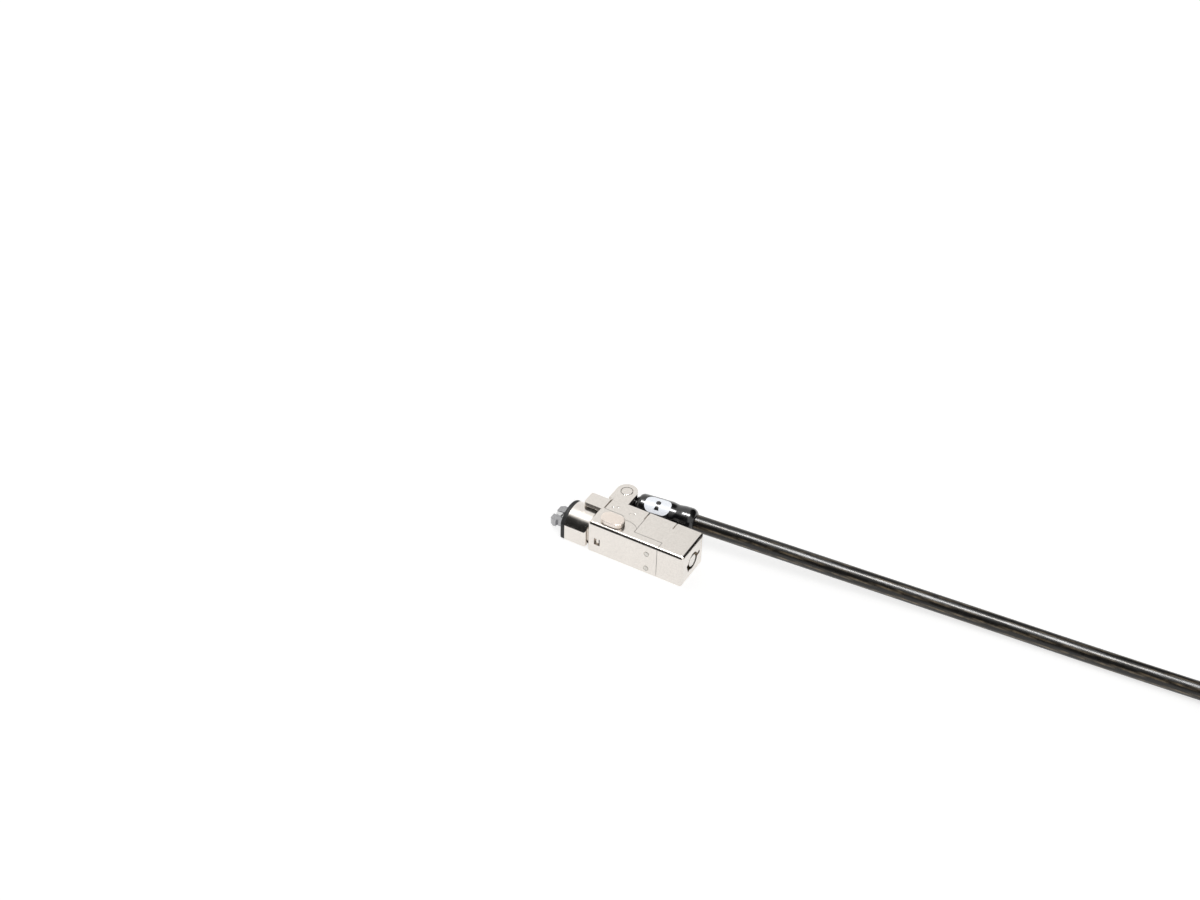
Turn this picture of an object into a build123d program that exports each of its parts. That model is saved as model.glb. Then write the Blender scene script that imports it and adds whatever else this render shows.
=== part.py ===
from build123d import *
from math import cos, pi, radians, sin, sqrt, tan
import os

# A slim keyed laptop cable lock. X runs from the nose (-X) to the key end (+X), +Y is the cable's
# side and +Z is up. The origin is the middle of the flat base of the body. All sizes are in mm.

# ---------------------------------------------------------------- driving dimensions
BODY_LENGTH = 28.4
BODY_WIDTH = 11.5
BODY_HEIGHT = 9.8
WALL = 1.1
TOP_WALL = 1.6
SPLIT = 6.5  # where the rear housing takes over from the front housing
SEAM = 0.12  # gap at the joints between the castings
FIT = 0.05  # clearance of one fixed piece inside another

FRONT, REAR = -BODY_LENGTH / 2, BODY_LENGTH / 2
NEAR, FAR = -BODY_WIDTH / 2, BODY_WIDTH / 2
TOP = BODY_HEIGHT
CEILING = TOP - TOP_WALL
INNER_HALF = FAR - WALL

TONGUE_TIP = -1.7
TONGUE_NEAR = -3.0
TENON_TIP = 1.8

NOSE_Y = -0.5  # the nose sits a little to the near side of the body's middle
CLAW_Z = 2.5  # height of the claws, at mid thickness
COLLAR_GAP = 0.6  # filled by the nose spring
COLLAR_REAR = FRONT - COLLAR_GAP
COLLAR_LENGTH = 6.5
COLLAR_RADIUS = 5.9
COLLAR_ARC_Z = 2.5
COLLAR_HALF = 5.25
COLLAR_BASE = 0.1
PAD_THICKNESS = 1.4
COLLAR_FRONT = COLLAR_REAR - COLLAR_LENGTH
PAD_FRONT = COLLAR_FRONT - PAD_THICKNESS

SPOT_RADIUS, SPOT_LIFT = 0.36, 0.2  # the ball that sinks each weld spot, and its height above the face

SLIDER_TRAVEL = 2.5
SLIDER_X, SLIDER_Y = -8.4, -2.65
SLIDER_LENGTH, SLIDER_WIDTH = 6.7, 4.3
SLIDER_BASE = TOP + 0.15
SLIDER_TOP = 11.2
KNURL_PITCH = 0.5
KNURL_WIDTH = 0.12

CYLINDER_Z = 4.9
SLEEVE_RADIUS = 3.3
CORE_RADIUS = 2.5
POST_RADIUS = 1.75
SPINDLE_RADIUS = 0.8
PIN_CIRCLE = 2.1
PIN_RADIUS = 0.25
PIN_COUNT = 7
SHEAR_LINE = 7.62

DOWEL_X = 3.5
DOWEL_HEIGHTS = (1.62, 6.5)
DOWEL_RADIUS = 0.64
DOWEL_INNER = 3.35  # distance of the holes' blind ends from the middle

PIVOT_X, PIVOT_Y = -11.4, 10.35
EAR_RADIUS = 2.95
EAR_THICKNESS = 1.7
LOWER_EAR_BASE = 1.9
EYE_RADIUS = 2.7
ARM_ANGLE = 6.8  # degrees from +X, as the cable lies at rest
ARM_Z = 5.85
BOOT_START, BOOT_END = 3.4, 20.0
BOOT_RADIUS = 3.75
BADGE_X, BADGE_LENGTH, BADGE_WIDTH, BADGE_DEPTH = 9.4, 7.2, 4.8, 0.12

CABLE_DIAMETER = 4.6
CABLE_RADIUS = CABLE_DIAMETER / 2
HANK_X, HANK_Y = 216.5, 10.0
HANK_STRAIGHT = 58.0
INNER_TURN, OUTER_TURN = 13.8, 18.4  # bend radii of the two turns that lie side by side
HANK_LAYERS = 4
TIE_THICKNESS = 0.6
TIE_WIDTH = 8.0
SLEEVE_LENGTH = 14.0

os.makedirs("parts", exist_ok=True)


# ---------------------------------------------------------------- shared shapes
def block(x, y, z, mode=Mode.ADD):
    """A box between low and high values along X, Y and Z."""
    with Locations((sum(x) / 2, sum(y) / 2, sum(z) / 2)):
        Box(x[1] - x[0], y[1] - y[0], z[1] - z[0], mode=mode)


def rod_x(x, y, z, radius, mode=Mode.ADD):
    """A cylinder along X."""
    with Locations(Location((sum(x) / 2, y, z), (0, 90, 0))):
        Cylinder(radius, x[1] - x[0], mode=mode)


def rod_y(x, y, z, radius, mode=Mode.ADD):
    """A cylinder along Y."""
    with Locations(Location((x, sum(y) / 2, z), (90, 0, 0))):
        Cylinder(radius, y[1] - y[0], mode=mode)


def rod_z(x, y, z, radius, mode=Mode.ADD):
    """A cylinder along Z."""
    with Locations((x, y, sum(z) / 2)):
        Cylinder(radius, z[1] - z[0], mode=mode)


def body_section():
    """The body across its length. The near top edge is the roundest."""
    with Locations((0, TOP / 2)):
        Rectangle(BODY_WIDTH, BODY_HEIGHT)
    near, far = vertices().group_by(Axis.X)[0], vertices().group_by(Axis.X)[-1]
    corners = [
        (near.sort_by(Axis.Y)[-1], 1.0),
        (near.sort_by(Axis.Y)[0], 0.6),
        (far.sort_by(Axis.Y)[-1], 0.4),
        (far.sort_by(Axis.Y)[0], 0.6),
    ]
    for corner, radius in corners:
        fillet(corner, radius)


def collar_section(shrink=0.0):
    """A D: a flat-sided, flat-bottomed slice of a round bar that is centred low."""
    with Locations((NOSE_Y, COLLAR_ARC_Z)):
        Circle(COLLAR_RADIUS - shrink)
    height = 2 * COLLAR_RADIUS
    with Locations((NOSE_Y, COLLAR_BASE + shrink + height / 2)):
        Rectangle(2 * (COLLAR_HALF - shrink), height, mode=Mode.INTERSECT)
    low = vertices().group_by(Axis.Y)[0]
    fillet(low, 0.5)


def bracket_outline(grow=0.0):
    """The part of the cable bracket that lies in the body's top face."""
    left, right = -12.95 - grow, TONGUE_TIP - SEAM
    near_left, near_mid = 1.2 - grow, -0.06 - grow
    with BuildLine() as outline:
        far_left = (left, FAR)
        shoulder = (-7.5, near_left)
        flat_start, flat_end = (-6.3, near_mid), (-4.6, near_mid)
        tip = (right, near_mid - 1.5)
        Polyline(far_left, (left, near_left), shoulder, flat_start, flat_end)
        ThreePointArc(flat_end, (-3.0, near_mid - 0.5), tip)
        Polyline(tip, (right, FAR), far_left)
    make_face(outline.edges())


def spring_coil(radius, wire, pitch, length, place, flats=0):
    """A helical compression spring along the place's own Z. A wire with flats is a polygon across."""
    with BuildPart(mode=Mode.PRIVATE) as coil:
        with BuildLine() as wire_path:
            Helix(pitch=pitch, height=length - wire, radius=radius - wire / 2)
        with BuildSketch(wire_path.line ^ 0):
            if flats:
                RegularPolygon(wire / 2, flats)
            else:
                Circle(wire / 2)
        sweep(is_frenet=True)
    return place * Pos(0, 0, wire / 2) * coil.part


def save(name, part):
    """One STEP file per node."""
    part.label = name
    export_step(part, f"parts/{name}.step")


# ---------------------------------------------------------------- castings of the body
with BuildPart() as front_housing:
    with BuildSketch(Plane.YZ.offset(FRONT)):
        body_section()
    extrude(amount=SPLIT - FRONT)
    front_edges = edges().filter_by(Axis.Z).group_by(Axis.X)[0]
    fillet(front_edges.sort_by(Axis.Y)[0], 0.7)

    # plate that overhangs the far shoulder of the nose collar
    with BuildSketch(Plane.XY.offset(7.0)):
        with Locations(((FRONT - 4.9 + FRONT + 1) / 2, 2.85)):
            Rectangle(5.9, 4.5)
        fillet(vertices().group_by(Axis.X)[0], 0.6)
    extrude(amount=TOP - 7.0)
    rod_x((FRONT - 6, FRONT), NOSE_Y, COLLAR_ARC_Z, COLLAR_RADIUS + 0.2, Mode.SUBTRACT)

    block((FRONT + WALL, SPLIT), (-INNER_HALF, INNER_HALF), (WALL, CEILING), Mode.SUBTRACT)

    # step that the rear housing's tongue fills, out to the far side
    block((TONGUE_TIP - SEAM, SPLIT), (TONGUE_NEAR - SEAM, FAR), (CEILING - 0.1, TOP), Mode.SUBTRACT)

    # bed of the cable bracket, with its wide slit towards the overhang
    with BuildSketch(Plane.XY.offset(TOP - 1.0)):
        bracket_outline(SEAM)
    extrude(amount=1.0, mode=Mode.SUBTRACT)
    block((-13.35, -12.95), (1.25, 5.2), (TOP - 1.0, TOP), Mode.SUBTRACT)

    # slot for the thumb slider's stem
    block((-10.3, -5.2), (SLIDER_Y - 0.7, SLIDER_Y + 0.7), (CEILING - 0.1, TOP), Mode.SUBTRACT)

    # front wall: mouth for the claw cage, slot for the collar's strap
    mouth = (NOSE_Y - 3.1 - FIT, NOSE_Y + 3.1 + FIT)
    block((FRONT, FRONT + WALL), mouth, (1.25 - FIT, 4.8 + FIT), Mode.SUBTRACT)
    block((FRONT, FRONT + WALL), (-4.62, -3.83), (1.9, 6.1), Mode.SUBTRACT)

    # side window, dowel holes and the hole of the cylinder's retaining pin
    block((-12.2, -10.45), (NEAR, NEAR + WALL), (2.75, 4.9), Mode.SUBTRACT)
    for height in DOWEL_HEIGHTS:
        for side in (-1, 1):
            span = sorted((side * DOWEL_INNER, side * FAR))
            rod_y(DOWEL_X, span, height, DOWEL_RADIUS + 0.01, Mode.SUBTRACT)
            ring = sorted((side * (FAR - 0.25), side * FAR))
            rod_y(DOWEL_X, ring, height, DOWEL_RADIUS + 0.15, Mode.SUBTRACT)
    rod_z(5.0, 0, (0, WALL), 0.45, Mode.SUBTRACT)
save("front_housing", front_housing.part)

with BuildPart() as rear_housing:
    with BuildSketch(Plane.YZ.offset(SPLIT + SEAM)):
        body_section()
    extrude(amount=REAR - SPLIT - SEAM)
    fillet(faces().sort_by(Axis.X)[-1].edges(), 0.65)

    # tenon inside the front housing, and the tongue that carries the top face on to the bracket
    tenon_half = INNER_HALF - FIT
    block((TENON_TIP, SPLIT + SEAM), (-tenon_half, tenon_half), (WALL + FIT, CEILING))
    with BuildSketch(Plane.YZ.offset(TONGUE_TIP)):
        body_section()
        with Locations(((TONGUE_NEAR + FAR) / 2, (CEILING + TOP) / 2)):
            Rectangle(FAR - TONGUE_NEAR, TOP_WALL, mode=Mode.INTERSECT)
    extrude(amount=SPLIT + SEAM - TONGUE_TIP)
    block((SPLIT - 0.3, SPLIT), (3.2, FAR), (TOP - 0.7, TOP), Mode.SUBTRACT)

    # bore for the lock's sleeve, then the annular keyway with its two notches
    rod_x((TONGUE_TIP, REAR - 0.9), 0, CYLINDER_Z, SLEEVE_RADIUS, Mode.SUBTRACT)
    rod_x((REAR - 0.9, REAR), 0, CYLINDER_Z, CORE_RADIUS, Mode.SUBTRACT)
    with BuildSketch(Plane.YZ.offset(REAR - 0.9)):
        with Locations(Location((0, CYLINDER_Z), 8)):
            with Locations((3.05, 0)):
                Rectangle(1.7, 1.0)
        with Locations(Location((0, CYLINDER_Z), 200)):
            with Locations((2.55, 0)):
                Rectangle(0.9, 2.8)
    extrude(amount=0.9, mode=Mode.SUBTRACT)
    for height in DOWEL_HEIGHTS:
        for side in (-1, 1):
            span = sorted((side * DOWEL_INNER, side * FAR))
            rod_y(DOWEL_X, span, height, DOWEL_RADIUS + 0.01, Mode.SUBTRACT)
    rod_z(5.0, 0, (WALL, CYLINDER_Z), 0.45, Mode.SUBTRACT)
save("rear_housing", rear_housing.part)

with BuildPart() as cable_bracket:
    with BuildSketch(Plane.XY.offset(TOP - 1.0)):
        bracket_outline()
    extrude(amount=1.0)

    # two ears for the pivot pin, joined by a web against the body's far side
    neck = (PIVOT_X - EAR_RADIUS, PIVOT_X + EAR_RADIUS)
    for base in (LOWER_EAR_BASE, TOP - EAR_THICKNESS):
        rod_z(PIVOT_X, PIVOT_Y, (base, base + EAR_THICKNESS), EAR_RADIUS)
        block(neck, (FAR, PIVOT_Y), (base, base + EAR_THICKNESS))
    block(neck, (FAR, FAR + 1.3), (LOWER_EAR_BASE, TOP))
    rod_z(PIVOT_X, PIVOT_Y, (0, TOP), 1.0, Mode.SUBTRACT)
    rod_z(PIVOT_X, PIVOT_Y, (TOP - 0.6, TOP), 1.72, Mode.SUBTRACT)

    block((TONGUE_TIP - 0.36, TONGUE_TIP), (2.7, FAR), (TOP - 0.7, TOP), Mode.SUBTRACT)

    # two pairs of small weld spots
    for x, y in ((-11.4, 2.75), (-10.3, 3.4), (-6.2, 2.75), (-5.1, 3.4)):
        with Locations((x, y, TOP + SPOT_LIFT)):
            Sphere(SPOT_RADIUS, mode=Mode.SUBTRACT)
save("cable_bracket", cable_bracket.part)

with BuildPart() as pivot_pin:
    rod_z(PIVOT_X, PIVOT_Y, (LOWER_EAR_BASE - 0.2, TOP - 0.55), 1.0)
    rod_z(PIVOT_X, PIVOT_Y, (TOP - 0.6, TOP + 0.03), 1.58)
    fillet(faces().sort_by(Axis.Z)[-1].edges(), 0.12)
    fillet(faces().sort_by(Axis.Z)[0].edges(), 0.3)
save("pivot_pin", pivot_pin.part)

with BuildPart() as dowel_pins:
    for height in DOWEL_HEIGHTS:
        for side in (-1, 1):
            span = sorted((side * (DOWEL_INNER + FIT), side * (FAR + 0.03)))
            rod_y(DOWEL_X, span, height, DOWEL_RADIUS)
save("dowel_pins", dowel_pins.part)

# ---------------------------------------------------------------- nose
with BuildPart() as nose_collar:
    with BuildSketch(Plane.YZ.offset(COLLAR_FRONT)):
        collar_section()
    extrude(amount=COLLAR_LENGTH)
    rear_corners = edges().filter_by(Axis.Z).group_by(Axis.X)[-1]
    fillet(rear_corners, 0.75)
    cavity = (NOSE_Y - 3.3, NOSE_Y + 3.3)
    block((COLLAR_FRONT, COLLAR_REAR), cavity, (1.1, 5.0), Mode.SUBTRACT)

    # strap that runs back inside the near wall, with a catch that stands in the window
    block((COLLAR_REAR - 1, -9.6), (-4.55, -3.9), (2.0, 6.0))
    block((-11.65, -10.95), (-5.4, -4.5), (3.35, 4.75))
    for x, y in ((-18.9, -1.2), (-17.8, -0.9)):
        with Locations((x, NOSE_Y + y, COLLAR_ARC_Z + sqrt(COLLAR_RADIUS**2 - y**2) + SPOT_LIFT)):
            Sphere(SPOT_RADIUS, mode=Mode.SUBTRACT)
save("nose_collar", nose_collar.part)

with BuildPart() as bumper_pad:
    with BuildSketch(Plane.YZ.offset(PAD_FRONT)):
        collar_section(0.05)
    extrude(amount=PAD_THICKNESS)
    fillet(faces().sort_by(Axis.X)[0].edges(), 0.5)
    fillet(faces().sort_by(Axis.X)[-1].edges(), 0.25)
    block((PAD_FRONT, COLLAR_FRONT), (NOSE_Y - 3.0, NOSE_Y + 3.0), (1.3, 4.0), Mode.SUBTRACT)
save("bumper_pad", bumper_pad.part)

HOOK_PIVOT_X = -17.5
HOOK_PIVOT_OFFSET = 1.98
HOOK_HALF_HEIGHT = 1.0

with BuildPart() as claw_cage:
    block((-20.4, -11.8), (NOSE_Y - 3.1, NOSE_Y + 3.1), (1.25, 4.8))
    slot_height = (CLAW_Z - HOOK_HALF_HEIGHT - FIT, CLAW_Z + HOOK_HALF_HEIGHT + FIT)
    block((-20.4, -13.9), (NOSE_Y - 3.1, NOSE_Y + 3.1), slot_height, Mode.SUBTRACT)
    blade_way = (CLAW_Z - 0.6, CLAW_Z + 0.6)
    block((-13.9, -11.8), (NOSE_Y - 0.5, NOSE_Y + 0.5), blade_way, Mode.SUBTRACT)
    for side in (-1, 1):
        rod_z(HOOK_PIVOT_X, NOSE_Y + side * HOOK_PIVOT_OFFSET, (1.0, 5.0), 0.45, Mode.SUBTRACT)
save("claw_cage", claw_cage.part)

with BuildPart() as hook_pins:
    for side in (-1, 1):
        rod_z(HOOK_PIVOT_X, NOSE_Y + side * HOOK_PIVOT_OFFSET, (1.3, 4.75), 0.44)
save("hook_pins", hook_pins.part)


def hook(side):
    """One claw, seen from above: boss and tail, neck, and a head that hooks outwards."""
    outline = [
        (-15.0, 1.1), (-15.0, 1.7), (-16.5, 2.85), (-18.6, 2.85), (-18.9, 2.6), (-25.2, 2.6),
        (-25.2, 3.3), (-26.1, 3.35), (-27.1, 2.6), (-27.1, 0.85), (-25.1, 0.85), (-24.8, 1.35),
        (-18.9, 1.35), (-18.6, 1.1),
    ]
    with BuildPart() as claw:
        with BuildSketch(Plane.XY.offset(CLAW_Z - HOOK_HALF_HEIGHT)):
            with BuildLine():
                Polyline([(x, NOSE_Y + side * y) for x, y in outline], close=True)
            make_face()
        extrude(amount=2 * HOOK_HALF_HEIGHT)
        rod_z(HOOK_PIVOT_X, NOSE_Y + side * HOOK_PIVOT_OFFSET, (1.0, 5.0), 0.48, Mode.SUBTRACT)
    return claw.part


save("near_hook", hook(-1))
save("far_hook", hook(1))

with BuildPart() as hook_spring:
    # a leaf bent to a U; its legs press the tails of the claws apart
    leaf_height = (CLAW_Z - 0.7, CLAW_Z + 0.7)
    block((-17.0, -14.3), (NOSE_Y - 0.95, NOSE_Y + 0.95), leaf_height)
    block((-17.0, -14.5), (NOSE_Y - 0.75, NOSE_Y + 0.75), leaf_height, Mode.SUBTRACT)
    block((-14.5, -14.3), (NOSE_Y - 0.5, NOSE_Y + 0.5), (CLAW_Z - 0.55, CLAW_Z + 0.55), Mode.SUBTRACT)
save("hook_spring", hook_spring.part)

with BuildPart() as spreader_blade:
    with BuildSketch(Plane.XY.offset(CLAW_Z - 0.9)):
        with BuildLine():
            wedge = [(-26.8, -0.35), (-25.2, -0.75), (-25.2, 0.75), (-26.8, 0.35)]
            Polyline([(x, NOSE_Y + y) for x, y in wedge], close=True)
        make_face()
    extrude(amount=1.8)
    block((-25.2, -9.0), (NOSE_Y - 0.4, NOSE_Y + 0.4), (CLAW_Z - 0.5, CLAW_Z + 0.5))
save("spreader_blade", spreader_blade.part)

with BuildPart() as nose_spring:
    # a ring that stands for a wave spring: it fills the gap between the collar and the housing
    ring_place = (COLLAR_REAR + 0.02, FRONT - 0.02)
    block(ring_place, (NOSE_Y - 3.75, NOSE_Y + 3.95), (0.75, 5.3))
    block(ring_place, (NOSE_Y - 3.3, NOSE_Y + 3.3), (1.1, 4.95), Mode.SUBTRACT)
    block(ring_place, (-4.6, -3.85), (1.9, 6.1), Mode.SUBTRACT)
save("nose_spring", nose_spring.part)

# ---------------------------------------------------------------- thumb slider and its bar
with BuildPart() as thumb_slider:
    with BuildSketch(Plane.XY.offset(SLIDER_BASE)):
        with Locations((SLIDER_X, SLIDER_Y)):
            SlotOverall(SLIDER_LENGTH, SLIDER_WIDTH)
    extrude(amount=SLIDER_TOP - SLIDER_BASE)
    fillet(faces().sort_by(Axis.Z)[-1].edges(), 0.2)

    # diamond knurl: V grooves both ways across the top
    for angle in (-45, 45):
        for step in range(-9, 10):
            place = Location((SLIDER_X, SLIDER_Y, SLIDER_TOP), (0, 0, angle))
            with Locations(place * Location((0, step * KNURL_PITCH, 0), (45, 0, 0))):
                Box(9, KNURL_WIDTH, KNURL_WIDTH, mode=Mode.SUBTRACT)
    block((-10.2, -7.8), (SLIDER_Y - 0.6, SLIDER_Y + 0.6), (8.0, SLIDER_BASE + 0.3))
    rod_z(-9.0, SLIDER_Y, (8.0, 9.6), 0.4, Mode.SUBTRACT)
save("thumb_slider", thumb_slider.part)

CAM_FRONT, CAM_REAR = -3.2, -2.0
NOTCH_WIDTH = 1.5

with BuildPart() as slide_bar:
    block((-11.5, -6.4), (-3.7, 3.4), (1.25, 3.6))
    block((-10.2, -7.8), (SLIDER_Y - 0.6, SLIDER_Y + 0.6), (3.6, 8.0))
    block((-7.8, -1.0), (-3.8, -2.6), (1.25, 7.4))
    notch_middle = (CAM_FRONT + CAM_REAR) / 2
    for shift in (0, -SLIDER_TRAVEL):
        low = notch_middle + shift - NOTCH_WIDTH / 2
        block((low, low + NOTCH_WIDTH), (-3.8, -2.6), (1.25, 5.95), Mode.SUBTRACT)
    block((-11.5, -9.0), (NOSE_Y - 0.4, NOSE_Y + 0.4), (CLAW_Z - 0.5, CLAW_Z + 0.5), Mode.SUBTRACT)
    rod_z(-9.0, SLIDER_Y, (6.5, 8.0), 0.4, Mode.SUBTRACT)
save("slide_bar", slide_bar.part)

with BuildPart() as slider_rivet:
    rod_z(-9.0, SLIDER_Y, (6.6, 9.5), 0.39)
save("slider_rivet", slider_rivet.part)

spring_place = Location((-6.35, 2.4, 3.1), (0, 90, 0))
slider_spring = spring_coil(0.95, 0.28, 1.15, 8.1, spring_place)
save("slider_spring", slider_spring)

# ---------------------------------------------------------------- key cylinder
pin_angles = [90 + 360 / PIN_COUNT * number for number in range(PIN_COUNT)]


def pin_rods(x, radius, mode=Mode.ADD):
    """One rod for each pin, on the pin circle."""
    for angle in pin_angles:
        y = PIN_CIRCLE * cos(radians(angle))
        z = CYLINDER_Z + PIN_CIRCLE * sin(radians(angle))
        rod_x(x, y, z, radius, mode)


with BuildPart() as lock_sleeve:
    rod_x((2.6, REAR - 0.95), 0, CYLINDER_Z, SLEEVE_RADIUS - 0.01)
    rod_x((2.6, REAR - 0.95), 0, CYLINDER_Z, CORE_RADIUS, Mode.SUBTRACT)
    block((10.6, REAR - 0.95), (0, 3.0), (CYLINDER_Z - 0.5, CYLINDER_Z + 0.5), Mode.SUBTRACT)
    rod_z(5.0, 0, (0, CYLINDER_Z), 0.45, Mode.SUBTRACT)
save("lock_sleeve", lock_sleeve.part)

with BuildPart() as pin_block:
    rod_x((3.2, SHEAR_LINE - 0.02), 0, CYLINDER_Z, CORE_RADIUS - 0.01)
    rod_x((3.2, SHEAR_LINE), 0, CYLINDER_Z, SPINDLE_RADIUS + 0.04, Mode.SUBTRACT)
    pin_rods((3.7, SHEAR_LINE), PIN_RADIUS + 0.03, Mode.SUBTRACT)
    rod_z(5.0, 0, (0, 3.4), 0.45, Mode.SUBTRACT)
save("pin_block", pin_block.part)

with BuildPart() as cylinder_pin:
    rod_z(5.0, 0, (0.02, 3.3), 0.44)
save("cylinder_pin", cylinder_pin.part)

with BuildPart() as driver_pins:
    pin_rods((5.9, SHEAR_LINE - 0.03), PIN_RADIUS)
save("driver_pins", driver_pins.part)

driver_springs = []
for angle in pin_angles:
    y = PIN_CIRCLE * cos(radians(angle))
    z = CYLINDER_Z + PIN_CIRCLE * sin(radians(angle))
    place = Location((3.75, y, z), (0, 90, 0))
    driver_springs.append(spring_coil(0.25, 0.16, 0.4, 2.1, place, flats=8))
save("driver_springs", Compound(children=driver_springs))

with BuildPart() as key_core:
    rod_x((SHEAR_LINE + 0.02, 10.4), 0, CYLINDER_Z, CORE_RADIUS - 0.03)
    rod_x((10.4, REAR - 0.05), 0, CYLINDER_Z, POST_RADIUS)
    fillet(faces().sort_by(Axis.X)[-1].edges(), 0.15)
    rod_x((-4.2, SHEAR_LINE + 1), 0, CYLINDER_Z, SPINDLE_RADIUS)
    pin_rods((SHEAR_LINE, 10.4), PIN_RADIUS + 0.03, Mode.SUBTRACT)
save("key_core", key_core.part)

with BuildPart() as key_pins:
    for number, angle in enumerate(pin_angles):
        y = PIN_CIRCLE * cos(radians(angle))
        z = CYLINDER_Z + PIN_CIRCLE * sin(radians(angle))
        length = 3.2 + 0.25 * (number % 3)
        rod_x((SHEAR_LINE + 0.04, SHEAR_LINE + length), y, z, PIN_RADIUS)
save("key_pins", key_pins.part)

with BuildPart() as locking_cam:
    rod_x((CAM_FRONT, CAM_REAR), 0, CYLINDER_Z, 1.5)
    block((CAM_FRONT, CAM_REAR), (-0.8, 0.8), (CYLINDER_Z - 3.6, CYLINDER_Z))
    rod_x((CAM_FRONT, CAM_REAR), 0, CYLINDER_Z, SPINDLE_RADIUS, Mode.SUBTRACT)
save("locking_cam", locking_cam.part)

with BuildPart() as cam_clip:
    rod_x((-3.75, -3.3), 0, CYLINDER_Z, 1.25)
    rod_x((-3.75, -3.3), 0, CYLINDER_Z, SPINDLE_RADIUS, Mode.SUBTRACT)
    block((-3.75, -3.3), (-0.35, 0.35), (CYLINDER_Z, CYLINDER_Z + 2), Mode.SUBTRACT)
save("cam_clip", cam_clip.part)

# ---------------------------------------------------------------- swinging cable end
# The arm's own frame has its origin on the pivot, at the cable's height, with X along the boot.
arm_plane = Plane(
    origin=(PIVOT_X, PIVOT_Y, ARM_Z),
    x_dir=(cos(radians(ARM_ANGLE)), sin(radians(ARM_ANGLE)), 0),
    z_dir=(0, 0, 1),
)
arm = arm_plane.location
EYE_BASE, EYE_TOP = LOWER_EAR_BASE + EAR_THICKNESS + 0.1, TOP - EAR_THICKNESS - 0.1


def arm_rod(start, end, radius, mode=Mode.ADD):
    """A cylinder along the boot's axis."""
    with Locations(Location(((start + end) / 2, 0, 0), (0, 90, 0))):
        Cylinder(radius, end - start, mode=mode)


with BuildPart() as cable_eye:
    rod_z(0, 0, (EYE_BASE - ARM_Z, EYE_TOP - ARM_Z), EYE_RADIUS)
    block((0, BOOT_START), (-1.5, 1.5), (-1.5, 1.5))
    arm_rod(BOOT_START - 0.4, 12.0, 2.5)
    rod_z(0, 0, (-4, 4), 1.03, Mode.SUBTRACT)
    arm_rod(5.0, 12.0, 2.0, Mode.SUBTRACT)
save("cable_eye", arm * cable_eye.part)

with BuildPart() as cable_ferrule:
    arm_rod(5.2, 11.9, 1.97)
    fillet(faces().sort_by(Axis.X)[0].edges(), 0.4)
    arm_rod(9.0, 11.9, 1.5, Mode.SUBTRACT)
save("cable_ferrule", arm * cable_ferrule.part)

with BuildPart() as strand_end:
    arm_rod(9.0, BOOT_END, 1.5)
save("strand_end", arm * strand_end.part)

# boot: barrel, slight waist, then a rounded end
with BuildPart() as cable_boot:
    with BuildSketch(Plane.XZ):
        with BuildLine():
            foot_left, foot_right = (BOOT_START, 0), (BOOT_END, 0)
            Line(foot_left, (BOOT_START, BOOT_RADIUS - 1.3))
            RadiusArc((BOOT_START, BOOT_RADIUS - 1.3), (BOOT_START + 1.3, BOOT_RADIUS), 1.3)
            Line((BOOT_START + 1.3, BOOT_RADIUS), (12.4, BOOT_RADIUS))
            Spline(
                (12.4, BOOT_RADIUS), (14.4, BOOT_RADIUS - 0.3), (16.6, BOOT_RADIUS - 0.12),
                tangents=((1, 0), (1, 0)),
            )
            Line((16.6, BOOT_RADIUS - 0.12), (18.2, BOOT_RADIUS - 0.12))
            RadiusArc((18.2, BOOT_RADIUS - 0.12), (BOOT_END, BOOT_RADIUS - 1.6), 1.9)
            Line((BOOT_END, BOOT_RADIUS - 1.6), foot_right)
            Line(foot_right, foot_left)
        make_face()
    revolve(axis=Axis.X)
    arm_rod(BOOT_START - 1, 12.0, 2.5, Mode.SUBTRACT)
    arm_rod(12.0, BOOT_END, 1.5, Mode.SUBTRACT)
boot_solid = cable_boot.part

# plain rounded badge with a keyhole, let into the boot and facing up and towards the body
badge_tilt = radians(20)
badge_plane = Plane(
    origin=(BADGE_X, 0, 0), x_dir=(1, 0, 0), z_dir=(0, -sin(badge_tilt), cos(badge_tilt))
)
with BuildPart() as badge_tool:
    with BuildSketch(badge_plane):
        RectangleRounded(BADGE_LENGTH, BADGE_WIDTH, 1.9)
        with Locations((0, 0.6)):
            Circle(0.7, mode=Mode.SUBTRACT)
        with Locations((0, -0.6)):
            Trapezoid(1.4, 1.9, 76, mode=Mode.SUBTRACT)
    extrude(amount=BOOT_RADIUS + 1)
with BuildPart() as badge_shell:
    badge_ends = (BADGE_X - BADGE_LENGTH / 2 - 1, BADGE_X + BADGE_LENGTH / 2 + 1)
    arm_rod(*badge_ends, BOOT_RADIUS)
    arm_rod(*badge_ends, BOOT_RADIUS - BADGE_DEPTH, Mode.SUBTRACT)
badge = badge_tool.part & badge_shell.part
save("boot_badge", arm * badge)
save("cable_boot", arm * (boot_solid - badge))

# ---------------------------------------------------------------- free cable
# The put-away length is a hank: a racetrack of turns, two side by side and four high.
boot_mouth = arm_plane.from_local_coords((BOOT_END, 0, 0))
HANK_START = HANK_X - HANK_STRAIGHT / 2
HANK_OUTER = OUTER_TURN + CABLE_RADIUS
HANK_INNER = INNER_TURN - CABLE_RADIUS
HANK_HEIGHT = HANK_LAYERS * CABLE_DIAMETER
HANK_TOP = TIE_THICKNESS + HANK_HEIGHT
LOOP_Y = HANK_Y + 8.0
LOOP_Z = HANK_TOP + TIE_THICKNESS + CABLE_RADIUS
SLEEVE_X = HANK_X - 15.0
STRAND_GAP = 2.5  # half the distance between the two strands in the crimp

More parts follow.
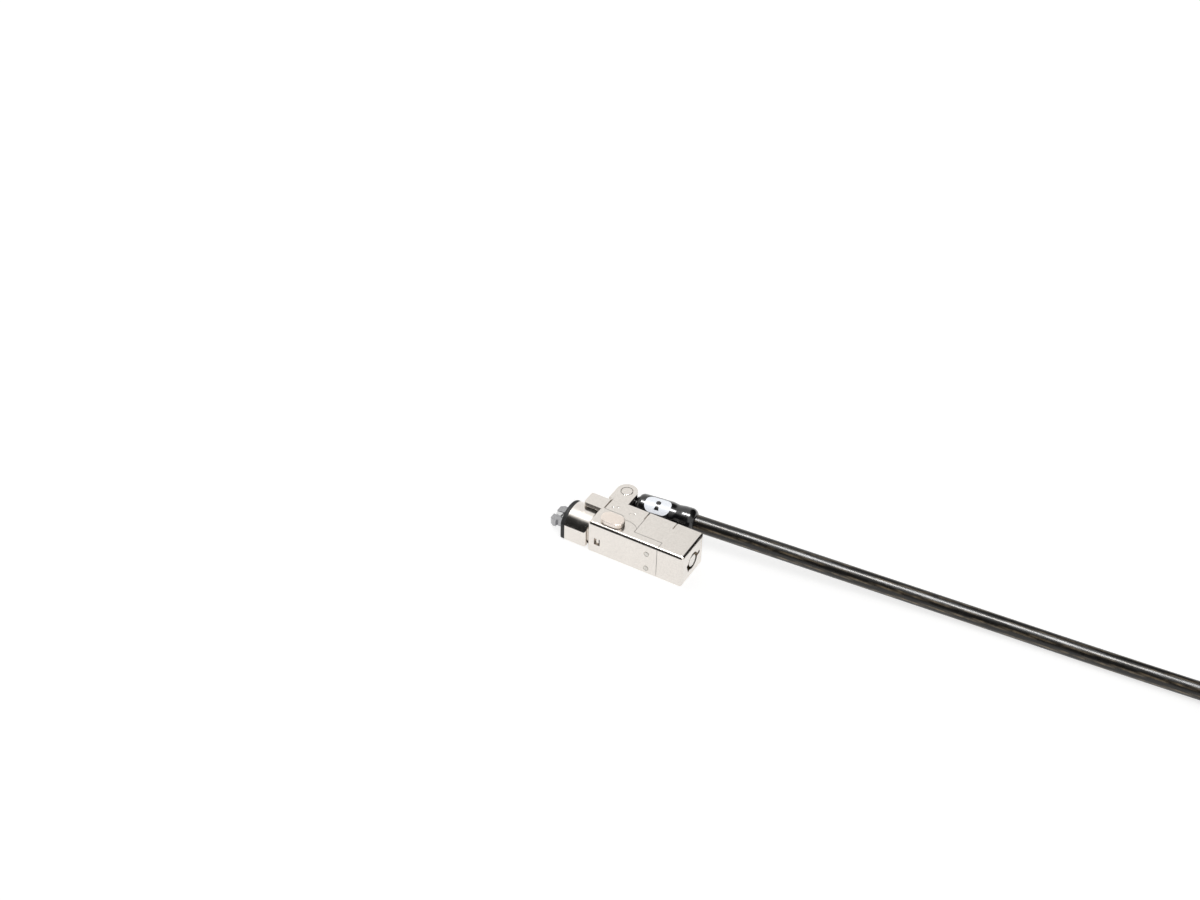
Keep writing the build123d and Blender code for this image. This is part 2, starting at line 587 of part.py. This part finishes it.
lead_route = [
    (boot_mouth.X, boot_mouth.Y, ARM_Z),
    (31.0, 15.1, 5.1),
    (57.0, 18.4, 3.6),
    (85.0, 21.5, 2.45),
    (115.0, 23.55, 2.3),
    (142.0, 25.5, 2.35),
    (166.0, 27.4, 2.7),
    (HANK_START, HANK_Y + OUTER_TURN, TIE_THICKNESS + CABLE_RADIUS),
]
tail_route = [
    (HANK_START, HANK_Y + INNER_TURN, HANK_TOP + CABLE_RADIUS),
    (HANK_START + 6.0, HANK_Y + INNER_TURN - 1.2, LOOP_Z - 0.2),
    (SLEEVE_X, LOOP_Y + STRAND_GAP, LOOP_Z),
]


def bend_radii(route):
    """The largest arc that each corner's two runs allow."""
    points = [Vector(*point) for point in route]
    radii = []
    for before, corner, after in zip(points, points[1:], points[2:]):
        arriving, leaving = corner - before, after - corner
        shorter = min(arriving.length, leaving.length)
        turn = radians(arriving.get_angle(leaving))
        radii.append(0.45 * shorter / tan(turn / 2))
    return radii


def cord(name, route, radius=CABLE_RADIUS):
    """A round tube along straight runs that are joined by arcs."""
    radii = bend_radii(route)
    with BuildPart() as tube:
        with BuildLine() as path:
            FilletPolyline(*route, radius=radii)
        with BuildSketch(path.line ^ 0):
            Circle(radius)
        sweep()
    length = path.wires()[0].length
    print(name, "length", round(length, 1), "radii", [round(bend, 1) for bend in radii])
    print(name, "volume", round(tube.part.volume, 1), "expected", round(pi * radius**2 * length, 1))
    return tube.part


save("cable", cord("cable", lead_route))
save("cable_tail", cord("cable_tail", tail_route))

with BuildPart() as cable_hank:
    with BuildSketch(Plane.XY.offset(TIE_THICKNESS)):
        with Locations((HANK_X, HANK_Y)):
            SlotOverall(HANK_STRAIGHT + 2 * HANK_OUTER, 2 * HANK_OUTER)
            SlotOverall(HANK_STRAIGHT + 2 * HANK_INNER, 2 * HANK_INNER, mode=Mode.SUBTRACT)
    extrude(amount=HANK_HEIGHT)
save("cable_hank", cable_hank.part)

with BuildPart() as hank_tie:
    with BuildSketch(Plane.YZ.offset(HANK_X + 12)):
        with Locations((HANK_Y, TIE_THICKNESS + HANK_HEIGHT / 2)):
            strap = (2 * HANK_OUTER + 2 * TIE_THICKNESS, HANK_HEIGHT + 2 * TIE_THICKNESS)
            RectangleRounded(*strap, TIE_THICKNESS)
            Rectangle(2 * HANK_OUTER, HANK_HEIGHT, mode=Mode.SUBTRACT)
    extrude(amount=TIE_WIDTH)
save("hank_tie", hank_tie.part)

# far end: crimped sleeve and the loop that goes round furniture
with BuildPart() as loop_sleeve:
    with BuildSketch(Plane.YZ.offset(SLEEVE_X)):
        with Locations((LOOP_Y, LOOP_Z)):
            SlotOverall(10.8, 5.6)
    extrude(amount=SLEEVE_LENGTH)
    fillet(edges().group_by(Axis.X)[0] + edges().group_by(Axis.X)[-1], 0.5)
    for side in (-STRAND_GAP, STRAND_GAP):
        bore = (SLEEVE_X, SLEEVE_X + SLEEVE_LENGTH)
        rod_x(bore, LOOP_Y + side, LOOP_Z, CABLE_RADIUS + 0.01, Mode.SUBTRACT)
save("loop_sleeve", loop_sleeve.part)

loop_half = [(1.0, STRAND_GAP), (19.0, STRAND_GAP), (34.0, 12.5), (50.0, 10.5)]
loop_route = [(SLEEVE_X + x, LOOP_Y - y, LOOP_Z) for x, y in loop_half]
loop_route.append((SLEEVE_X + 56.0, LOOP_Y, LOOP_Z))
loop_route += [(SLEEVE_X + x, LOOP_Y + y, LOOP_Z) for x, y in reversed(loop_half)]
save("end_loop", cord("end_loop", loop_route, CABLE_RADIUS - 0.01))
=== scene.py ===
import math

import bpy
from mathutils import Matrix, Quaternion, Vector


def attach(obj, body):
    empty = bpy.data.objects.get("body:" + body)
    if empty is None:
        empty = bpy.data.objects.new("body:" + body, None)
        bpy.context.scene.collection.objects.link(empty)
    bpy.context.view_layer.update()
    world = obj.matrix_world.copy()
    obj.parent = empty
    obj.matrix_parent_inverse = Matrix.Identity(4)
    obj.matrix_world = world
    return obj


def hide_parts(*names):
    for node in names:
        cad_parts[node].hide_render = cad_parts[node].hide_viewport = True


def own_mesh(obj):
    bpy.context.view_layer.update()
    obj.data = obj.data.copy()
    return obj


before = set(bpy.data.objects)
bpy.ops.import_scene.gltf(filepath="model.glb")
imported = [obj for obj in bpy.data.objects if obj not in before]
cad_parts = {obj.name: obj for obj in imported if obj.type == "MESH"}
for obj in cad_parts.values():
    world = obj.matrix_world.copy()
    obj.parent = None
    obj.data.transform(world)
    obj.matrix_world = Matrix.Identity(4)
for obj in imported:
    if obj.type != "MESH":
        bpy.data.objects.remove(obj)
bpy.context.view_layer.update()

scene = bpy.context.scene
MM = 0.001


# ---------------------------------------------------------------- camera
CAMERA_PLACE = Vector((174.08, -340.95, 344.91)) * MM
CAMERA_LOOKS = Vector((-0.37608, 0.68056, -0.62881))
CAMERA_ROLL = math.radians(1.66)
CAMERA_LENS = 58.22  # mm, on a sensor 36 mm wide


def make_camera():
    camera = bpy.data.objects.new("camera", bpy.data.cameras.new("camera"))
    scene.collection.objects.link(camera)
    camera.data.lens = CAMERA_LENS
    camera.data.sensor_width = 36.0
    camera.data.clip_start = 0.01
    camera.location = CAMERA_PLACE
    level = CAMERA_LOOKS.to_track_quat("-Z", "Y")
    camera.rotation_mode = "QUATERNION"
    camera.rotation_quaternion = level @ Quaternion((0, 0, 1), CAMERA_ROLL)
    scene.camera = camera


make_camera()

# ---------------------------------------------------------------- cable
CABLE_DIAMETER = 4.6
CABLE_RADIUS = CABLE_DIAMETER / 2
TIE_THICKNESS = 0.6
HANK_X, HANK_Y = 216.5, 10.0
HANK_STRAIGHT = 58.0
HANK_START = HANK_X - HANK_STRAIGHT / 2
INNER_TURN, OUTER_TURN = 13.8, 18.4
HANK_TOP = TIE_THICKNESS + 4 * CABLE_DIAMETER
SLEEVE_X = HANK_X - 15.0
LOOP_Y = HANK_Y + 8.0
LOOP_Z = HANK_TOP + TIE_THICKNESS + CABLE_RADIUS
STRAND_GAP = 2.5
TURN_POINTS = 28

lead_route = [
    (8.4592, 12.7181, 5.85),
    (31.0, 15.1, 5.1),
    (57.0, 18.4, 3.6),
    (85.0, 21.5, 2.45),
    (115.0, 23.55, 2.3),
    (142.0, 25.5, 2.35),
    (166.0, 27.4, 2.7),
    (HANK_START, HANK_Y + OUTER_TURN, TIE_THICKNESS + CABLE_RADIUS),
]
tail_route = [
    (HANK_START, HANK_Y + INNER_TURN, HANK_TOP + CABLE_RADIUS),
    (HANK_START + 6.0, HANK_Y + INNER_TURN - 1.2, LOOP_Z - 0.2),
    (SLEEVE_X, LOOP_Y + STRAND_GAP, LOOP_Z),
]


def racetrack(phase, radius):
    """A point of one turn of the hank, clockwise from the start of its far straight, for phase 0 to 1."""
    straight, bend = HANK_STRAIGHT, math.pi * radius
    along = phase * 2 * (straight + bend)
    left, right = HANK_X - straight / 2, HANK_X + straight / 2
    if along < straight:
        return left + along, HANK_Y + radius
    along -= straight
    if along < bend:
        angle = math.pi / 2 - along / radius
        return right + radius * math.cos(angle), HANK_Y + radius * math.sin(angle)
    along -= bend
    if along < straight:
        return right - along, HANK_Y - radius
    along -= straight
    angle = -math.pi / 2 - along / radius
    return left + radius * math.cos(angle), HANK_Y + radius * math.sin(angle)


def hank_route():
    """Seven turns, two columns wide. Each moves to its next place a little before the one below it did."""
    first = TIE_THICKNESS + CABLE_RADIUS
    places = [
        (OUTER_TURN, first), (INNER_TURN, first),
        (INNER_TURN, first + CABLE_DIAMETER), (OUTER_TURN, first + CABLE_DIAMETER),
        (OUTER_TURN, first + 2 * CABLE_DIAMETER), (INNER_TURN, first + 2 * CABLE_DIAMETER),
        (INNER_TURN, first + 3 * CABLE_DIAMETER), (INNER_TURN, HANK_TOP + CABLE_RADIUS),
    ]
    turns = len(places) - 1
    route = []
    for turn in range(turns):
        opening = (turns - 1 - turn) / turns
        for step in range(TURN_POINTS):
            phase = step / TURN_POINTS
            moved = min(max((phase - opening) * turns, 0.0), 1.0)
            moved = moved * moved * (3 - 2 * moved)
            radius = places[turn][0] + moved * (places[turn + 1][0] - places[turn][0])
            height = places[turn][1] + moved * (places[turn + 1][1] - places[turn][1])
            x, y = racetrack(phase, radius)
            route.append((x, y, height))
    return route[1:]


def make_cable():
    curve = bpy.data.curves.new("steel_cable", "CURVE")
    curve.dimensions = "3D"
    curve.bevel_depth = 1.0  # each point's radius scales it to the cable's
    curve.bevel_resolution = 7
    curve.resolution_u = 10
    curve.use_fill_caps = True
    points = lead_route + hank_route() + tail_route
    spline = curve.splines.new("NURBS")
    spline.points.add(len(points) - 1)
    for place, point in zip(points, spline.points):
        point.co = (*(Vector(place) * MM), 1.0)
        point.radius = CABLE_RADIUS * MM
    spline.order_u = 3
    spline.use_endpoint_u = True
    cable = bpy.data.objects.new("steel_cable", curve)
    scene.collection.objects.link(cable)
    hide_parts("cable", "cable_hank", "cable_tail")
    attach(cable, "cable_arm")
    return cable


cable = make_cable()


# ---------------------------------------------------------------- copies of the springs
def live_spring(name, node):
    """A copy of a spring's node, with a mesh of its own, fixed to the lock body; the node itself is hidden.
    """
    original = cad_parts[node]
    spring = bpy.data.objects.new(name, original.data.copy())
    scene.collection.objects.link(spring)
    spring.matrix_world = original.matrix_world
    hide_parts(node)
    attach(spring, "lock_body")
    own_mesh(spring)
    return spring


return_spring = live_spring("return_spring", "slider_spring")
wave_spring = live_spring("wave_spring", "nose_spring")

# ---------------------------------------------------------------- material parts
class Surface:
    """A Principled material with short calls for the nodes that feed it."""

    def __init__(self, name, **settings):
        self.material = bpy.data.materials.new(name)
        self.material.use_nodes = True
        self.nodes = self.material.node_tree.nodes
        self.links = self.material.node_tree.links
        self.shader = self.nodes["Principled BSDF"]
        coordinates = self.nodes.new("ShaderNodeTexCoord")
        self.place = coordinates.outputs["Object"]
        self.uv = coordinates.outputs["UV"]
        for key, value in settings.items():
            self.shader.inputs[key.replace("_", " ")].default_value = value

    def node(self, kind, **settings):
        made = self.nodes.new("ShaderNode" + kind)
        for key, value in settings.items():
            setattr(made, key, value)
        return made

    def feed(self, source, target):
        self.links.new(source, target)

    def math(self, operation, first, second=0.0):
        made = self.node("Math", operation=operation)
        for value, socket in zip((first, second), made.inputs):
            if isinstance(value, (int, float)):
                socket.default_value = value
            else:
                self.feed(value, socket)
        return made.outputs[0]

    def noise(self, scale, detail=2.0):
        texture = self.node("TexNoise")
        texture.inputs["Scale"].default_value = scale
        texture.inputs["Detail"].default_value = detail
        self.feed(self.place, texture.inputs["Vector"])
        return texture.outputs["Fac"]

    def spread(self, value, low, high, start=0.3, end=0.7):
        """The value from start to end becomes low to high."""
        made = self.node("MapRange")
        self.feed(value, made.inputs["Value"])
        for key, number in (("From Min", start), ("From Max", end), ("To Min", low), ("To Max", high)):
            made.inputs[key].default_value = number
        return made.outputs["Result"]

    def tint(self, factor, first, second):
        made = self.node("Mix", data_type="RGBA")
        self.feed(factor, made.inputs["Factor"])
        made.inputs["A"].default_value = (*first, 1)
        made.inputs["B"].default_value = (*second, 1)
        return made.outputs["Result"]

    def colour(self, socket):
        self.feed(socket, self.shader.inputs["Base Color"])

    def rough(self, socket):
        self.feed(socket, self.shader.inputs["Roughness"])

    def bump(self, height, strength, distance_mm):
        made = self.node("Bump")
        made.inputs["Strength"].default_value = strength
        made.inputs["Distance"].default_value = distance_mm * MM
        self.feed(height, made.inputs["Height"])
        self.feed(made.outputs["Normal"], self.shader.inputs["Normal"])


def metal(name, light, dark, roughness):
    """Plated or bare metal: speckled tone and bump from its fine grain, and cloudy roughness."""
    surface = Surface(name, Metallic=1.0)
    speckle = surface.spread(surface.noise(3200, 4), 0, 1, 0.38, 0.62)
    cloud = surface.spread(surface.noise(140, 2), 0, 1)
    tone = surface.math("ADD", surface.math("MULTIPLY", speckle, 0.8), surface.math("MULTIPLY", cloud, 0.2))
    surface.colour(surface.tint(tone, light, dark))
    surface.rough(surface.spread(surface.noise(420, 3), roughness - 0.02, roughness + 0.03))
    surface.bump(speckle, 0.12, 0.01)
    return surface.material


def rubber(name):
    surface = Surface(name, Specular_IOR_Level=0.35)
    speckle = surface.spread(surface.noise(900, 4), 0, 1)
    surface.colour(surface.tint(speckle, (0.012, 0.012, 0.013), (0.03, 0.03, 0.03)))
    surface.rough(surface.spread(surface.noise(1500, 3), 0.45, 0.62))
    surface.bump(surface.noise(5200, 3), 0.3, 0.02)
    return surface.material


def glossy_black(name):
    surface = Surface(name, Coat_Weight=0.5, Coat_Roughness=0.06, Specular_IOR_Level=0.5)
    cloud = surface.spread(surface.noise(500, 2), 0, 1)
    surface.colour(surface.tint(cloud, (0.004, 0.004, 0.005), (0.010, 0.010, 0.011)))
    surface.rough(surface.spread(surface.noise(900, 3), 0.16, 0.26))
    surface.bump(surface.noise(1800, 2), 0.06, 0.02)
    return surface.material


def print_with_painted_glow(name):
    # The emission is a painted glow: it makes the white print brighter, as if more light fell on it, though
    # the badge is no lamp.
    painted_glow_settings = {"Emission_Color": (0.88, 0.92, 1.0, 1.0), "Emission_Strength": 0.45}
    surface = Surface(name, Specular_IOR_Level=0.5, **painted_glow_settings)
    speckle = surface.spread(surface.noise(2400, 3), 0, 1)
    surface.colour(surface.tint(speckle, (0.80, 0.82, 0.85), (0.66, 0.68, 0.71)))
    surface.rough(surface.spread(surface.noise(1500, 2), 0.3, 0.42))
    surface.bump(surface.noise(3000, 2), 0.1, 0.02)
    return surface.material


RIB_RATE = 9000.0  # radians per metre, which is a rib about every 0.7 mm


def woven(name):
    """Black strap with crossed ribs."""
    surface = Surface(name, Specular_IOR_Level=0.2)
    split = surface.node("SeparateXYZ")
    surface.feed(surface.place, split.inputs[0])
    angles = [surface.math("MULTIPLY", split.outputs[axis], RIB_RATE) for axis in range(3)]
    ribs = [surface.math("SINE", angle) for angle in angles]
    weave = surface.math("ADD", surface.math("MULTIPLY", ribs[0], ribs[1]), ribs[2])
    surface.colour(surface.tint(surface.spread(weave, 0, 1, -1, 1), (0.01, 0.01, 0.01), (0.05, 0.05, 0.05)))
    surface.rough(surface.spread(surface.noise(900, 2), 0.7, 0.9))
    surface.bump(weave, 0.5, 0.05)
    return surface.material


STRANDS_ALONG = 167.0  # repeats of the pattern over the whole cable, one every 10 mm
STRANDS_AROUND = 8


def smoked_sheath(name):
    """Clear smoked vinyl over a laid steel strand, whose pattern follows the cable's UV."""
    surface = Surface(name, Specular_IOR_Level=0.5)
    split = surface.node("SeparateXYZ")
    surface.feed(surface.uv, split.inputs[0])
    run = surface.math("MULTIPLY", split.outputs["X"], STRANDS_ALONG)
    lap = surface.math("MULTIPLY", split.outputs["Y"], STRANDS_AROUND)
    strands = surface.math("ADD", run, lap)
    strands = surface.math("SINE", surface.math("MULTIPLY", strands, 2 * math.pi))
    wires = surface.math("SUBTRACT", surface.math("MULTIPLY", run, 3.0), surface.math("MULTIPLY", lap, 2.0))
    wires = surface.math("SINE", surface.math("MULTIPLY", wires, 2 * math.pi))
    strands = surface.math("MULTIPLY", strands, 0.65)
    wires = surface.math("MULTIPLY", wires, 0.35)
    pattern = surface.math("ADD", strands, wires)
    streaks = surface.spread(pattern, 0, 1, 0.0, 1.0)
    patchy = surface.math("MULTIPLY", streaks, surface.spread(surface.noise(420, 2), 0.1, 1))
    surface.colour(surface.tint(patchy, (0.005, 0.004, 0.003), (0.22, 0.17, 0.11)))
    surface.rough(surface.spread(surface.noise(700, 2), 0.26, 0.32))
    surface.bump(pattern, 0.25, 0.03)
    return surface.material


# ---------------------------------------------------------------- materials of the nodes
nickel = metal("satin_nickel", (0.81, 0.77, 0.725), (0.735, 0.695, 0.65), 0.19)
button_nickel = metal("warm_nickel", (0.86, 0.79, 0.73), (0.78, 0.71, 0.65), 0.32)
claw_steel = metal("hardened_steel", (0.46, 0.46, 0.47), (0.32, 0.32, 0.33), 0.24)
bright_steel = metal("bright_steel", (0.78, 0.78, 0.78), (0.66, 0.66, 0.67), 0.20)
pin_steel = metal("pin_steel", (0.68, 0.66, 0.62), (0.58, 0.56, 0.52), 0.24)
brass = metal("turned_brass", (0.62, 0.47, 0.26), (0.50, 0.37, 0.20), 0.28)
core_nickel = metal("core_nickel", (0.80, 0.77, 0.73), (0.70, 0.67, 0.63), 0.24)
black_steel = metal("blackened_steel", (0.035, 0.033, 0.032), (0.02, 0.02, 0.02), 0.25)
pad_rubber = rubber("pad_rubber")
boot_black = glossy_black("boot_black")
badge_print_painted_glow = print_with_painted_glow("badge_print_painted_glow")
strap_weave = woven("strap_weave")
sheath = smoked_sheath("smoked_sheath")
loop_sheath = glossy_black("loop_sheath")

node_materials = {
    nickel: ["front_housing", "rear_housing", "cable_bracket", "nose_collar", "pivot_pin"],
    button_nickel: ["thumb_slider"],
    claw_steel: ["far_hook", "near_hook", "claw_cage", "hook_pins", "slide_bar", "locking_cam", "cam_clip"],
    bright_steel: ["spreader_blade", "hook_spring", "driver_springs", "strand_end"],
    pin_steel: ["dowel_pins", "slider_rivet", "cylinder_pin", "cable_ferrule", "loop_sleeve"],
    black_steel: ["cable_eye"],
    brass: ["lock_sleeve", "pin_block", "driver_pins", "key_pins"],
    core_nickel: ["key_core"],
    pad_rubber: ["bumper_pad"],
    boot_black: ["cable_boot"],
    badge_print_painted_glow: ["boot_badge"],
    strap_weave: ["hank_tie"],
    loop_sheath: ["end_loop"],
}


def dress(piece, material):
    piece.data.materials.clear()
    piece.data.materials.append(material)


for material, names in node_materials.items():
    for name in names:
        dress(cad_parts[name], material)
dress(cable, sheath)
dress(return_spring, bright_steel)
dress(wave_spring, black_steel)


# ---------------------------------------------------------------- floor and light
FLOOR_HALF = 3.0
FLOOR_GLOW = 0.73  # keeps the paper near white, as it is in the photo
STRIP_PLACE = (-0.036, -0.02, 0.8)
STRIP_AIM = (-0.036, 0.0, 0.0)
STRIP_SIZE = (0.39, 0.2)
STRIP_POWER = 8.0
FLAG_LEVEL = 0.01  # what is left of the studio's light inside a flag
# each flag: the direction it stands in, and the angles from there at which it ends and at which it is full
FLAGS = (
    ((-0.376, -0.80, 0.47), 42, 30),
    ((0.445, 0.72, 0.53), 46, 36),
)


def make_floor():
    mesh = bpy.data.meshes.new("floor")
    half = FLOOR_HALF
    corners = [(-half, -half, 0), (half, -half, 0), (half, half, 0), (-half, half, 0)]
    mesh.from_pydata(corners, [], [(0, 1, 2, 3)])
    floor = bpy.data.objects.new("floor", mesh)
    scene.collection.objects.link(floor)
    paper = Surface("white_paper", Roughness=0.9, Emission_Strength=FLOOR_GLOW)
    paper.shader.inputs["Emission Color"].default_value = (1, 1, 1, 1)
    paper.colour(paper.tint(paper.noise(20), (0.49, 0.49, 0.49), (0.51, 0.51, 0.51)))
    dress(floor, paper.material)


def glint(name, place, aim, size, energy):
    """A lamp that adds only reflections: it doesn't light matt surfaces, so it leaves no shadow."""
    data = bpy.data.lights.new(name, "AREA")
    data.shape = "RECTANGLE"
    data.size, data.size_y = size
    data.energy = energy
    light = bpy.data.objects.new(name, data)
    light.location = place
    light.rotation_mode = "QUATERNION"
    light.rotation_quaternion = (Vector(aim) - Vector(place)).to_track_quat("-Z", "Y")
    light.visible_diffuse = False
    scene.collection.objects.link(light)


def make_world():
    """A bright studio with two low dark flags: left of the camera, and on the right beyond the lock."""
    world = bpy.data.worlds.new("studio")
    world.use_nodes = True
    scene.world = world
    nodes, links = world.node_tree.nodes, world.node_tree.links
    place = nodes.new("ShaderNodeTexCoord")
    background = nodes["Background"]
    background.inputs["Color"].default_value = (1, 0.995, 0.985, 1)
    light = background.inputs["Strength"]
    for aim, soft_edge, full in FLAGS:
        dot = nodes.new("ShaderNodeVectorMath")
        dot.operation = "DOT_PRODUCT"
        dot.inputs[1].default_value = aim
        links.new(place.outputs["Generated"], dot.inputs[0])
        flag = nodes.new("ShaderNodeMapRange")
        flag.interpolation_type = "SMOOTHSTEP"
        edges = (math.cos(math.radians(soft_edge)), math.cos(math.radians(full)))
        for key, number in zip(("From Min", "From Max", "To Min", "To Max"), (*edges, 1.0, FLAG_LEVEL)):
            flag.inputs[key].default_value = number
        links.new(dot.outputs["Value"], flag.inputs["Value"])
        both = nodes.new("ShaderNodeMath")
        both.operation = "MULTIPLY"
        both.inputs[1].default_value = 1.0
        links.new(flag.outputs["Result"], both.inputs[0])
        links.new(both.outputs["Value"], light)
        light = both.inputs[1]


make_floor()
make_world()
glint("strip", STRIP_PLACE, STRIP_AIM, STRIP_SIZE, STRIP_POWER)
scene.view_settings.view_transform = "Standard"

bpy.context.view_layer.update()
